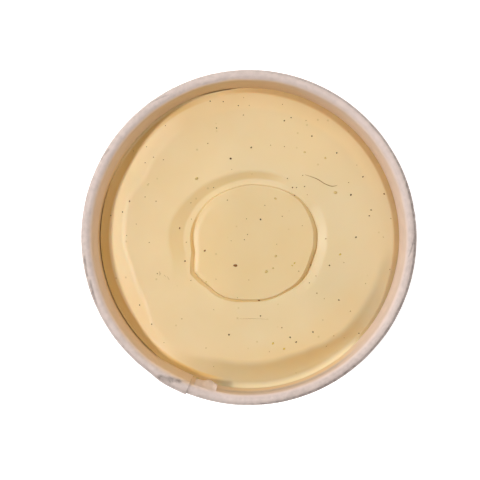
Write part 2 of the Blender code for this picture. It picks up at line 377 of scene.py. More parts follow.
def coated_board(colours):
    """Paperboard under a thin polyethylene film, calendered: a soft satin sheen over a fibrous white.

    Where ice cream has filmed it over it is tan and glossier, partly as painted light reflected from the
    ice cream. It is greyer where it is scuffed, and the same grey is painted shade under the rim's outer
    edge, on the roll's lower right, in its grooves, along the film's upper edge and on the wall at the
    lower left.
    """
    material, add, place = new_material("coated_paperboard")
    # Pulp fibres clot into clouds of about 4 mm, with finer flecks in them
    cloud = add("TexNoise", {"Vector": place, "Scale": 1 / (4 * MM), "Detail": 5.0, "Roughness": 0.55})
    cloud_share = add(
        "MapRange", {"Value": cloud.outputs["Fac"], "From Min": 0.42, "From Max": 0.68, "To Max": 0.3}
    )
    pulp, speck = opaque(colours.board), opaque(colours.board_speck)
    board = add("Mix", {SHARE: cloud_share.outputs["Result"], BASE: pulp, OVER: speck}, data_type="RGBA")
    film = add("Attribute", attribute_name="film").outputs["Fac"]
    filmed = add(
        "Mix", {SHARE: film, BASE: board.outputs[MIXED], OVER: opaque(colours.film)}, data_type="RGBA"
    )
    # Grey is patchy, in spots of 1.5 mm, both the grime that catches on the raised fibres and the painted
    # shade
    grime_and_shade = add("Attribute", attribute_name="grime_and_shade").outputs["Fac"]
    patch = add("TexNoise", {"Vector": place, "Scale": 1 / (1.5 * MM), "Detail": 4.0})
    patch_share = add("MapRange", {"Value": patch.outputs["Fac"], **NOISE_RANGE, "To Min": 0.62})
    grime_and_shade_share = add(
        "Math", {0: grime_and_shade, 1: patch_share.outputs["Result"]}, operation="MULTIPLY", use_clamp=True
    )
    base = add(
        "Mix",
        {SHARE: grime_and_shade_share.outputs[0], BASE: filmed.outputs[MIXED], OVER: opaque(colours.grime_and_shade)},
        data_type="RGBA",
    )
    rough = add("MapRange", {"Value": film, "To Min": 0.5, "To Max": 0.3})
    # Calendering leaves a grain of 0.7 mm
    grain = add("TexNoise", {"Vector": place, "Scale": 1 / (0.7 * MM), "Detail": 3.0})
    bump = add("Bump", {"Height": grain.outputs["Fac"], "Strength": 0.18, "Distance": 0.05 * MM})
    inputs = {
        "Base Color": base.outputs[MIXED],
        "Roughness": rough.outputs["Result"],
        "Normal": bump.outputs["Normal"],
        "IOR": 1.5,
    }
    return finish_material(material, inputs)


def plain_board(colours):
    """Uncoated underside board of the bottom disc: the same pulp, matt and a little greyer."""
    material, add, place = new_material("plain_paperboard")
    # Fibre clouds of 0.9 mm, which stand up without a coating
    cloud = add("TexNoise", {"Vector": place, "Scale": 1 / (0.9 * MM), "Detail": 5.0})
    share = add(
        "MapRange", {"Value": cloud.outputs["Fac"], "From Min": 0.35, "From Max": 0.7, "To Max": 0.7}
    )
    pulp, speck = opaque(colours.board), opaque(colours.board_speck)
    base = add("Mix", {SHARE: share.outputs["Result"], BASE: pulp, OVER: speck}, data_type="RGBA")
    bump = add("Bump", {"Height": cloud.outputs["Fac"], "Strength": 0.4, "Distance": 0.08 * MM})
    inputs = {
        "Base Color": base.outputs[MIXED],
        "Normal": bump.outputs["Normal"],
        "Roughness": 0.75,
        "IOR": 1.5,
    }
    return finish_material(material, inputs)


def vanilla_ice_cream(colours):
    """Frozen cream, sugar and air: light goes into it and comes out warmer, under a moist soft sheen.

    Where it has softened and frozen again it has lost air, so it is deeper in colour and wetter; the same
    deeper colour is also painted shade in the rim's cast shadow and on slopes and creases that face away
    from the light.
    """
    material, add, place = new_material("vanilla_ice_cream")
    soft = add("Attribute", attribute_name="soft").outputs["Fac"]
    # Slow drifts of butterfat, 14 mm across
    drift = add("TexNoise", {"Vector": place, "Scale": 1 / (14 * MM), "Detail": 2.0})
    drift_share = add("MapRange", {"Value": drift.outputs["Fac"], **NOISE_RANGE, "To Max": 0.14})
    share = add("Math", {0: soft, 1: drift_share.outputs["Result"]}, operation="ADD", use_clamp=True)
    # Painted light and shade: the paler tone where lit, the darker tone in shade
    lit_tone = add("Attribute", attribute_name="lit_tone").outputs["Fac"]
    dense, beaten = opaque(colours.cream), opaque(colours.cream_lit_tone)
    body = add("Mix", {SHARE: lit_tone, BASE: dense, OVER: beaten}, data_type="RGBA")
    melted = add(
        "Mix",
        {SHARE: share.outputs[0], BASE: body.outputs[MIXED], OVER: opaque(colours.cream_edge)},
        data_type="RGBA",
    )
    # Painted highlight: a pale colour where the key light would gleam
    thin = add("Attribute", attribute_name="thin").outputs["Fac"]
    painted_highlight = add(
        "Mix",
        {SHARE: thin, BASE: melted.outputs[MIXED], OVER: opaque(colours.cream_highlight)},
        data_type="RGBA",
    )
    # Ground seeds a little under the surface: soft spots 0.5 mm wide, in one cell of 3 mm out of four
    cell = add("TexVoronoi", {"Vector": place, "Scale": 1 / (3 * MM), "Randomness": 1.0})
    fading = {"From Min": 0.04, "From Max": 0.15, "To Min": 1.0, "To Max": 0.0}
    spot = add("MapRange", {"Value": cell.outputs["Distance"], **fading}, interpolation_type="SMOOTHSTEP")
    chance = add("SeparateColor", {"Color": cell.outputs["Color"]})
    chosen = add("Math", {0: chance.outputs["Red"], 1: 0.75}, operation="GREATER_THAN")
    spot_share = add("Math", {0: spot.outputs["Result"], 1: chosen.outputs[0]}, operation="MULTIPLY")
    faded = add("Math", {0: spot_share.outputs[0], 1: 0.45}, operation="MULTIPLY")
    base = add(
        "Mix",
        {SHARE: faded.outputs[0], BASE: painted_highlight.outputs[MIXED], OVER: opaque(colours.sunk)},
        data_type="RGBA",
    )
    # Ice grain, 0.6 mm
    ice = add("TexNoise", {"Vector": place, "Scale": 1 / (0.6 * MM), "Detail": 2.0})
    bump = add("Bump", {"Height": ice.outputs["Fac"], "Strength": 0.12, "Distance": 0.03 * MM})
    rough = add("MapRange", {"Value": soft, "To Min": 0.4, "To Max": 0.3})
    inputs = {
        "Base Color": base.outputs[MIXED],
        "Normal": bump.outputs["Normal"],
        "Roughness": rough.outputs["Result"],
        "IOR": 1.42,
        "Subsurface Weight": 0.3,
        "Subsurface Radius": (1.0, 0.5, 0.25),
        "Subsurface Scale": 1 * MM,
    }
    return finish_material(material, inputs)


def grain_material(name, rgb, roughness):
    """Vanilla seed, flake or fibre wetted by the ice cream: dark, and slightly glossy where it is oily."""
    material, add, place = new_material(name)
    # Its skin is lighter in patches of 0.3 mm
    patch = add("TexNoise", {"Vector": place, "Scale": 1 / (0.3 * MM), "Detail": 2.0})
    share = add("MapRange", {"Value": patch.outputs["Fac"], **NOISE_RANGE, "To Max": 0.5})
    dark, light = opaque(rgb), opaque(tuple(min(1.0, 2 * channel) for channel in rgb))
    base = add("Mix", {SHARE: share.outputs["Result"], BASE: dark, OVER: light}, data_type="RGBA")
    inputs = {"Base Color": base.outputs[MIXED], "Roughness": roughness, "IOR": 1.4}
    return finish_material(material, inputs)


# Board tub


class TubProfile:
    """The sleeve's inner face, which runs on over the roll and round the folded foot."""

    # The board with its coating
    wall = 0.45 * MM
    # Height of the film's upper end, and the height over which it thickens from there
    film_top = 94.5 * MM
    film_run = 6 * MM

    def __init__(self, shape):
        self.shape = shape
        self.roll_x = shape.rim_radius - shape.roll_radius
        self.roll_z = shape.height - shape.roll_radius
        self.throat = self.roll_x - shape.roll_radius
        self.slope = (self.throat + self.wall - shape.foot_radius) / self.roll_z

    def inner_face(self, z):
        return self.shape.foot_radius + self.slope * z - self.wall

    def is_inside(self, place):
        """Whether a point lies on the inner face and not on the outer one."""
        return place.xy.length < self.inner_face(place.z) + 0.2 * MM

    def filmed_face(self, z, angle):
        """The inner face under the film of ice cream, which thickens towards the fill."""
        film = self.shape.film * round_the_tub(angle, FILM_DEPTH)
        return self.inner_face(z) - film * smooth((self.film_top - z) / self.film_run)


class MESH_OT_board_sleeve(bpy.types.Operator):
    """Rolls the board into the sleeve, with its rim, its lapped side seam and its folded foot"""

    bl_idname = "mesh.board_sleeve"
    bl_label = "Board sleeve"

    def execute(self, context):
        shape = context.scene.tub_shape
        profile = TubProfile(shape)
        start = shape.hidden_edge
        out = Vector((math.cos(start), math.sin(start), 0))
        start_fresh()
        # The rim's roll, standing on the seam's hidden edge
        bpy.ops.mesh.primitive_circle_add(
            vertices=32,
            radius=shape.roll_radius,
            location=out * profile.roll_x + Vector((0, 0, profile.roll_z)),
            rotation=(math.pi / 2, 0, start),
        )
        bpy.ops.object.transform_apply()
        bpy.ops.object.mode_set(mode="EDIT")
        # The roll stops short of the wall, where it stays open
        opens, closes = -176.0, -125.0

        def in_opening(place):
            across = place.dot(out) - profile.roll_x
            down = place.z - profile.roll_z
            return opens < math.degrees(math.atan2(down, across)) < closes

        select_points(in_opening)
        bpy.ops.mesh.delete(type="VERT")
        select_points(lambda place: place.dot(out) < profile.throat + 0.01 * MM)
        here = (profile.throat, profile.roll_z)
        for there in self.path_down(shape, profile):
            step = out * (there[0] - here[0]) + Vector((0, 0, there[1] - here[1]))
            bpy.ops.mesh.extrude_region_move(TRANSFORM_OT_translate={"value": step})
            here = there
        self.wrap(shape)
        bpy.ops.object.mode_set(mode="OBJECT")
        apply_modifier("SOLIDIFY", thickness=shape.board, offset=-1.0, use_even_offset=True)
        self.handle(context.object, profile)
        bpy.ops.object.shade_smooth_by_angle(angle=BOARD_SHARP)
        finish_piece("tub_sleeve", coated_board(context.scene.tub_colours), "board_sleeve")
        return {"FINISHED"}

    def path_down(self, shape, profile):
        """Distances from the axis and heights down the wall, round the foot and up the hem."""
        heights = (95.2, 94, 92.8, 91.6, 90.4, 89.2, 88, 86.8, 85.6, 75, 60, 45, 30, 15, 7, 0.62)
        path = [(profile.inner_face(z * MM), z * MM) for z in heights]
        foot = profile.inner_face(0)
        # The fold, in mm inwards from the foot and up from the table
        fold = ((0.05, 0.47), (0.2, 0.43), (0.75, 0.43), (0.95, 0.5), (1.02, 0.7))
        path += [(foot - across * MM, up * MM) for across, up in fold]
        hem = foot - fold[-1][0] * MM
        return path + [(hem + profile.slope * z, z) for z in (2.5 * MM, 4.5 * MM, shape.hem_height)]

    def wrap(self, shape):
        """Spins the section round; its end climbs over its start by one thickness of board."""
        lap = shape.cut_edge - shape.hidden_edge
        climb_steps = 12
        lap_steps = 14
        climb = shape.board + 0.02 * MM
        bpy.ops.mesh.select_all(action="SELECT")
        bpy.ops.mesh.spin(steps=shape.columns, angle=shape.lap_climb - math.tau, **TUB_AXIS)
        for k in range(climb_steps):
            bpy.ops.mesh.spin(steps=1, angle=-shape.lap_climb / climb_steps, **TUB_AXIS)
            rise = smooth((k + 1) / climb_steps) - smooth(k / climb_steps)
            bpy.ops.transform.shrink_fatten(value=rise * climb)
        # The cut face is grey, raw board darkened further as painted shade, so a narrow last column keeps
        # that colour to the edge
        last = math.radians(0.2)
        bpy.ops.mesh.spin(steps=lap_steps, angle=last - lap, **TUB_AXIS)
        bpy.ops.mesh.spin(steps=1, angle=-last, **TUB_AXIS)

    def handle(self, piece, profile):
        """Waves, dents, film, greyness and painted shade of a tub that has been filled and handled."""
        for point in piece.data.vertices:
            point.co = handled(point.co, profile)
        paint(piece, "film", lambda place: film_share(place, profile))
        paint(piece, "grime_and_shade", lambda place: grime_and_shade_share(place, profile))


# Marks on the rim's roll, each a groove between two places: degrees round the tub, degrees round the
# roll from its outside over its crown, then width and depth in mm, and how grey it is: scuffs, and
# painted shade in the groove
RIM_MARKS = (
    (5.0, 25, 6.2, 8, 0.7, 0.35, 0.9),
    (8.8, 20, 10.2, 5, 0.6, 0.3, 0.8),
    (9.5, 52, 13.5, 38, 0.4, 0.08, 0.6),
    (13.5, 62, 18.5, 48, 0.4, 0.08, 0.5),
    (0.2, 58, -6.5, 112, 0.35, 0.14, 0.7),
    (-25.0, 75, -28.0, 62, 0.25, 0.06, 0.4),
    (126.6, 14, 128.6, 4, 0.7, 0.0, 0.9),
    (119.5, 80, 125.5, 45, 0.35, 0.07, 0.45),
    (148.0, 60, 152.0, 35, 0.5, 0.06, 0.4),
    (186.5, 60, 193.5, 48, 0.6, 0.14, 0.6),
    (195.5, 72, 203.5, 52, 0.6, 0.14, 0.6),
    (197.6, 16, 199.4, 2, 0.6, 0.0, 1.0),
    (237.6, 66, 241.2, 92, 1.0, 0.2, 0.8),
    (240.5, 100, 244.0, 122, 0.9, 0.16, 0.75),
    (243.5, 120, 247.4, 165, 0.5, 0.12, 0.4),
    (274.0, 40, 277.5, 30, 0.5, 0.06, 0.6),
    (281.5, 36, 286.5, 22, 0.5, 0.08, 0.7),
)


# Below the first height the board is plain, and hands have held the tub above the second
PLAIN_BELOW = 80 * MM
HELD_ABOVE = 90 * MM
# Waves that handling leaves on the rim: how long and how deep they are
RIM_WAVES = ((6 * MM, 0.05 * MM), (1.7 * MM, 0.015 * MM))


def on_the_roll(place, profile):
    """Degrees round the roll, from its outside over its crown, and how far out of its middle."""
    across = place.xy.length - profile.roll_x
    up = place.z - profile.roll_z
    return math.degrees(math.atan2(up, across)), math.hypot(across, up)


def mark_share(place, profile, mark):
    """1 on the line of a rim mark, falling to 0 at its width."""
    round_tub, round_roll, far_round_tub, far_round_roll, width = mark[:5]
    roll_turn, reach = on_the_roll(place, profile)
    underside = -40.0
    if reach > profile.shape.roll_radius + 0.5 * MM or roll_turn < underside:
        return 0.0
    tub_mm = math.radians(profile.shape.rim_radius) / MM
    roll_mm = math.radians(profile.shape.roll_radius) / MM
    start = Vector((0.0, round_roll * roll_mm))
    end = Vector(((far_round_tub - round_tub) * tub_mm, far_round_roll * roll_mm))
    turned = (direction_of(place) - round_tub + 180.0) % 360.0 - 180.0
    here = Vector((turned * tub_mm, roll_turn * roll_mm))
    along = min(1.0, max(0.0, (here - start).dot(end - start) / (end - start).length_squared))
    return smooth(1 - (here - start - (end - start) * along).length / width)


def handled(place, profile):
    """Where a point of the sleeve comes to lie once the tub has been filled and handled."""
    if place.z < PLAIN_BELOW:
        # The foot is pressed flat where the lap is folded up with it
        return Vector((place.x, place.y, max(0.0, place.z)))
    out = Vector((place.x, place.y, 0)).normalized()
    if profile.is_inside(place):
        filmed = profile.filmed_face(place.z, direction_of(place))
        place = place + out * (filmed - profile.inner_face(place.z))
    if place.z < HELD_ABOVE:
        return place
    rise = smooth((place.z - HELD_ABOVE) / (5 * MM))
    wave = sum((noise.noise(place / span) - 1) * depth for span, depth in RIM_WAVES)
    moved = place + out * wave * rise
    middle = out * profile.roll_x + Vector((0, 0, profile.roll_z))
    for mark in RIM_MARKS:
        share = mark_share(place, profile, mark)
        if share > 0:
            moved += (middle - place).normalized() * share * mark[5] * MM
    return moved


# How strongly ice cream has filmed the board over, by degrees round the tub, the distance from the
# tub's axis in mm where the film ends, the width in mm over which it fades, and its share of the
# thickest film. The film's colour is partly painted light reflected from the ice cream.
FILM = (
    (0, 0.22), (45, 0.32), (60, 0.4), (75, 0.6), (90, 0.75), (105, 0.9), (118, 0.7), (135, 0.55),
    (160, 0.5), (195, 0.5), (215, 0.7), (240, 0.75), (262, 0.65), (278, 0.4), (295, 0.25), (312, 0.3),
    (340, 0.25),
)
FILM_EDGE = (
    (0, 45.2), (60, 45.5), (90, 46.05), (140, 46.2), (165, 46.2), (230, 46.2), (262, 45.8), (290, 45.5),
)
FILM_FADE = (
    (0, 2.2), (60, 1.8), (85, 0.7), (140, 0.8), (165, 2.4), (230, 2.4), (262, 1.0), (300, 1.4),
)
FILM_DEPTH = ((0, 0.2), (60, 0.4), (95, 1.4), (150, 1.7), (230, 1.7), (262, 1.0), (304, 1.0), (325, 0.2))
# How grey the rim is round the tub, and how dark the painted shade line under its outer edge is
ROLL_GREYNESS = (
    (0, 0.44), (30, 0.26), (60, 0.25), (90, 0.36), (120, 0.4), (150, 0.38), (180, 0.42), (210, 0.38),
    (240, 0.42), (265, 0.3), (300, 0.46), (330, 0.28),
)
OUTER_SHADE_LINE = (
    (15, 0.85), (40, 0.75), (65, 0.6), (95, 0.1), (180, 0.0), (205, 0.2), (240, 0.3), (270, 0.2),
    (300, 0.9), (340, 0.95),
)


# Stretches round the tub, in degrees: where each starts, is full, is no longer full, and ends
WET_FILM = (252, 266, 304, 322)
DRIED_FILM = (130, 150, 240, 256)
# These three are painted shade: on the roll's outer side, along the film's upper edge and on the wall
SHADED_ROLL_SIDE = (262, 292, 370, 392)
FILM_EDGE_SHADE = (254, 264, 300, 318)
SHADED_WALL = (196, 208, 240, 256)


def film_share(place, profile):
    """The film covers the inner face and fades out over the roll; its colour is partly painted light
    reflected from the ice cream.
    """
    roll_foot = 95 * MM
    on_outside = place.z < roll_foot and not profile.is_inside(place)
    if place.z < PLAIN_BELOW or on_outside or place.xy.length > profile.roll_x + 0.3 * MM:
        return 0.0
    angle = direction_of(place)
    wander = 0.25 * MM * noise.noise(place / (5 * MM))
    edge = round_the_tub(angle, FILM_EDGE) * MM + wander
    fade = round_the_tub(angle, FILM_FADE) * MM
    share = round_the_tub(angle, FILM) * smooth(0.5 + (edge - place.xy.length) / fade)
    # Thickest just over the fill: wet at the bottom, dried brown beside the crevice
    wet = stretch(angle, *WET_FILM) * smooth((91.8 * MM - place.z) / (1.5 * MM))
    dried = stretch(angle, *DRIED_FILM) * smooth((89.4 * MM - place.z) / (1.2 * MM))
    return max(share, wet, dried)


def grime_and_shade_share(place, profile):
    """Greyness of the rim and wall: overall greyness, the rim marks and the seam's cut edge, and painted
    shade under the roll, along the film's edge and on the wall.
    """
    if place.z < HELD_ABOVE:
        return 0.0
    angle = direction_of(place)
    roll_turn, reach = on_the_roll(place, profile)
    share = 0.0
    if roll_turn > -90 and reach < profile.shape.roll_radius + 0.6 * MM:
        # Greyed all over, with painted shade on the roll's outer side at the lower right and a painted
        # shade line under its outer edge
        greyed = round_the_tub(angle, ROLL_GREYNESS) * smooth((150.0 - roll_turn) / 40.0)
        roll_side_shade = 0.3 * stretch(angle, *SHADED_ROLL_SIDE) * smooth((80.0 - roll_turn) / 35.0)
        line = round_the_tub(angle, OUTER_SHADE_LINE) * smooth(1 - abs(roll_turn - 44.0) / 26.0)
        share = greyed + roll_side_shade + line
    elif place.xy.length < profile.roll_x:
        # A painted shade line along the film's upper edge at the lower right, and painted shade on the wall
        # at the lower left
        off_line = abs(place.xy.length / MM - 45.45) / 0.25
        share = 0.5 * stretch(angle, *FILM_EDGE_SHADE) * smooth(1 - off_line)
        share += 0.06 * stretch(angle, *SHADED_WALL)
    for mark in RIM_MARKS:
        share += mark[6] * mark_share(place, profile, mark)
    # The seam's cut face: grey raw board and painted shade
    cut_face = math.degrees(profile.shape.cut_edge)
    if turn_between(angle, cut_face) < 0.15 and place.z > 92 * MM:
        share = 1.0
    return min(1.0, share)


class MESH_OT_board_tongue(bpy.types.Operator):
    """Peels the loose tongue of the inner ply off the wall, just right of the seam's cut edge"""

    bl_idname = "mesh.board_tongue"
    bl_label = "Board tongue"

    def execute(self, context):
        shape = context.scene.tub_shape
        profile = TubProfile(shape)
        start_fresh()
        bpy.ops.mesh.primitive_grid_add(x_subdivisions=36, y_subdivisions=30, size=1)
        for point in context.object.data.vertices:
            point.co = self.place(point.co.x + 0.5, point.co.y + 0.5, shape, profile)
        turn_faces_outwards()
        inner_ply = 0.16 * MM
        apply_modifier("SOLIDIFY", thickness=inner_ply, offset=0.0, use_even_offset=True)
        # A thin film all over it, thicker down by the fill
        paint(context.object, "film", lambda place: 0.12 + 0.2 * smooth((90.5 * MM - place.z) / (2 * MM)))
        paint(context.object, "grime_and_shade", lambda place: 0.06)
        bpy.ops.object.shade_smooth_by_angle(angle=BOARD_SHARP)
        finish_piece("board_tongue", coated_board(context.scene.tub_colours), "board_sleeve")
        return {"FINISHED"}

    def place(self, along, down, shape, profile):
        """A point of the tongue: along runs round the tub and down from the roll to its free end."""
        angle = math.degrees(shape.tongue_root) + along * math.degrees(shape.tongue_tip - shape.tongue_root)
        # Its free end is cut round: it rises steeply over the last third and a little at the root
        cut_at_tip = 5.5 * MM * max(0.0, (along - 0.62) / 0.38) ** 1.6
        cut_at_root = 1.6 * MM * max(0.0, (0.18 - along) / 0.18) ** 2
        frayed = 0.15 * MM * math.sin(9 * along)
        low = 88.35 * MM + cut_at_tip + cut_at_root + frayed
        high = 97.3 * MM
        z = high + (low - high) * down
        lift = shape.tongue_lift * (0.25 + 0.75 * smooth(along / 0.8)) * smooth(down / 0.75)
        crumple = 0.09 * MM * math.sin(14 * along + 3) * smooth(down / 0.4)
        clear_of_wall = 0.12 * MM
        clear_of_roll = 0.1 * MM
        if z > profile.roll_z:
            across = math.sqrt(max(0.0, 1 - ((z - profile.roll_z) / shape.roll_radius) ** 2))
            radius = profile.roll_x - (shape.roll_radius + clear_of_roll) * across - lift
        else:
            radius = profile.inner_face(z) - clear_of_wall - lift + crumple
        return around(angle, radius, z)


class MESH_OT_bottom_disc(bpy.types.Operator):
    """Cuts the recessed bottom disc and turns its skirt down"""

    bl_idname = "mesh.bottom_disc"
    bl_label = "Bottom disc"

    def execute(self, context):
        shape = context.scene.tub_shape
        profile = TubProfile(shape)
        top = shape.disc_top
        gap = 0.3 * MM
        radius = profile.inner_face(top) - gap
        start_fresh()
        bpy.ops.mesh.primitive_circle_add(
            vertices=180, radius=radius, fill_type="NGON", location=(0, 0, top)
        )
        bpy.ops.object.transform_apply()
        bpy.ops.object.mode_set(mode="EDIT")
        # The skirt follows the sleeve's taper down to the fold
        bpy.ops.mesh.select_all(action="SELECT")
        bpy.ops.mesh.inset(thickness=2.5 * MM, depth=0)
        corner = radius - 0.1 * MM
        select_points(lambda place: place.xy.length > corner)
        skirt_foot = 1.15 * MM
        down = {"value": (0, 0, skirt_foot - top)}
        bpy.ops.mesh.extrude_region_move(TRANSFORM_OT_translate=down)
        shrink = (profile.inner_face(skirt_foot) - gap) / radius
        bpy.ops.transform.resize(value=(shrink, shrink, 1))
        select_points(lambda place: place.z > top - 0.1 * MM and place.xy.length > corner)
        bpy.ops.mesh.bevel(offset=0.9 * MM, segments=5)
        turn_faces_outwards()
        apply_modifier("SOLIDIFY", thickness=shape.board, offset=-1.0, use_even_offset=True)
        bpy.ops.object.shade_smooth_by_angle(angle=BOARD_SHARP)
        material = plain_board(context.scene.tub_colours)
        finish_piece("tub_bottom_disc", material, "bottom_disc")
        return {"FINISHED"}


# Ice cream


# The plug's radius in mm by degrees round its own centre
PLUG_EDGE = (
    (0, 18.0), (14, 18.4), (38, 18.5), (84, 17.3), (104, 17.45), (156, 18.85), (168, 18.95), (188, 18.55),
    (204, 18.7), (218, 19.2), (230, 19.1), (270, 17.2), (300, 17.05), (322, 17.6), (342, 17.45),
)
# Width of the crease in mm by degrees round the plug, and how strong it is: 1 has the crease's slope
CREASE_WIDTH = (
    (0, 1.4), (24, 1.25), (45, 0.75), (62, 0.45), (90, 0.36), (130, 0.36), (150, 0.55), (166, 0.95),
    (185, 1.15), (204, 1.5), (226, 1.15), (250, 0.95), (270, 0.8), (292, 0.7), (312, 0.95), (332, 1.35),
)
CREASE_STRENGTH = (
    (0, 0.75), (24, 0.8), (48, 0.9), (60, 0.7), (76, 0.35), (110, 0.3), (130, 0.8), (144, 0.8),
    (158, 1.5), (180, 1.4), (198, 0.95), (216, 0.9), (240, 0.9), (254, 1.25), (276, 1.3), (300, 1.15),
    (324, 1.05), (345, 0.95),
)
# Depth of the moat in mm, the width of its floor, and the width of its outer slope
MOAT_DEPTH = (
    (0, 0.75), (28, 0.5), (42, 0.15), (56, 0.25), (90, 0.9), (114, 1.05), (150, 1.0), (172, 0.9),
    (190, 0.55), (206, 0.25), (250, 0.12), (300, 0.12), (322, 0.55),
)
MOAT_FLOOR = ((0, 0.0), (40, 0.4), (75, 1.5), (130, 1.5), (180, 1.8), (210, 1.0), (270, 0.3), (320, 0.0))
MOAT_SLOPE = (
    (0, 2.9), (40, 2.6), (75, 2.6), (110, 2.7), (140, 3.4), (172, 5.0), (200, 4.3), (250, 3.0), (320, 2.9),
)
# How far the plug's own edge is rounded down, in mm
PLUG_ROUNDING = ((0, 0.0), (60, 0.1), (110, 0.25), (160, 0.5), (200, 0.5), (230, 0.3), (270, 0.1))
# Distance from the tub's axis in mm at which the left bevel, the lower right dip and the right
# shoulder start, by degrees round the tub, and the slope of the dip
BEVEL_START = (
    (118, 37.4), (136, 36.7), (150, 35.8), (165, 37.5), (180, 37.3), (195, 36.1), (210, 36.2),
    (225, 38.8), (245, 40.2),
)
DIP_START = (
    (240, 38.0), (258, 36.2), (276, 36.2), (288, 36.0), (298, 36.6), (308, 37.8), (316, 38.4),
    (327, 38.4), (346, 38.8), (360, 40.2),
)
DIP_SLOPE = (
    (120, 0.0), (236, 0.0), (250, 0.25), (262, 0.43), (276, 0.5), (290, 0.6), (302, 0.7), (316, 0.65),
    (330, 0.35), (345, 0.2), (358, 0.0),
)
SHOULDER_START = (
    (0, 43.1), (20, 42.9), (75, 42.9), (110, 43.2), (200, 43.2), (308, 44.4), (320, 44.2), (332, 44.0),
    (345, 43.4),
)
# How steeply the ice cream is drawn up the board, as a share, and over what width in mm
MENISCUS = (
    (0, 0.3), (95, 0.3), (115, 0.15), (146, 0.15), (162, 0.0), (234, 0.0), (250, 0.3), (264, 1.0),
    (304, 1.0), (320, 0.5), (335, 0.35),
)
MENISCUS_WIDTH = (
    (0, 0.5), (100, 0.6), (115, 1.0), (150, 1.0), (240, 0.8), (262, 2.2), (290, 2.8), (306, 2.5),
    (325, 0.8),
)
# Painted lightness of the flat field, in percent, by degrees round the tub: palest at the upper left,
# darkest at the lower right
FIELD_LIGHTNESS = (
    (0, 72), (30, 74), (60, 88), (90, 91), (120, 99), (180, 100), (210, 93), (240, 83), (270, 78),
    (300, 77), (330, 64), (345, 68),
)
# Stretches of the ice cream, in degrees: where each starts, is full, is no longer full, and ends
BEVELLED = (112, 152, 216, 240)
SHOULDERED = (304, 322, 442, 472)
OPEN_LEFT = (150, 174, 226, 238)
OPEN_TOP = (92, 99, 104, 112)
# Painted shade: the rim's cast shadow on the left and the moat's outer slope
CAST_SHADOW_BAND = (96, 122, 252, 266)
SHADED_MOAT = (50, 80, 180, 205)
DRIED_TOP = (30, 70, 120, 150)
# Painted shade over the field's lower right, painted light by its upper right edge, a painted highlight on
# the meniscus, painted light in the shaded upper left corner and a painted highlight on the bevel
SHADED_FIELD = (236, 270, 335, 355)
LIT_EDGE = (5, 40, 90, 125)
MENISCUS_HIGHLIGHT = (256, 270, 308, 322)
LIT_CORNER = (104, 116, 140, 156)
BEVEL_HIGHLIGHT = (112, 152, 185, 240)
# Distance from the tub's axis in mm at which the left bevel ends
BEVEL_END = 42.0


class Spot:
    """A point of the ice cream's top, by its direction and distance from the tub's axis and the plug."""

    def __init__(self, point, top):
        self.angle = direction_of(point)
        self.reach = point.length
        arm = point - top.plug
        self.heading = direction_of(arm)
        self.beyond = arm.length - top.plug_edge(self.heading)

    def on(self, part):
        """1 within a stretch round the tub, falling to 0 at its ends."""
        return stretch(self.angle, *part)

    def past(self, start, run):
        """0 before a distance from the axis and 1 a run beyond it, both in mm; start may be a table."""
        if isinstance(start, tuple):
            start = round_the_tub(self.angle, start)
        return smooth((self.reach - start * MM) / (run * MM))

    def in_crease(self):
        """How strong the crease is at the point, and 0 outside it."""
        half = round_the_tub(self.heading, CREASE_WIDTH) * MM / 2
        inside = smooth((half + 0.1 * MM - abs(self.beyond)) / (0.25 * MM))
        return round_the_tub(self.heading, CREASE_STRENGTH) * inside


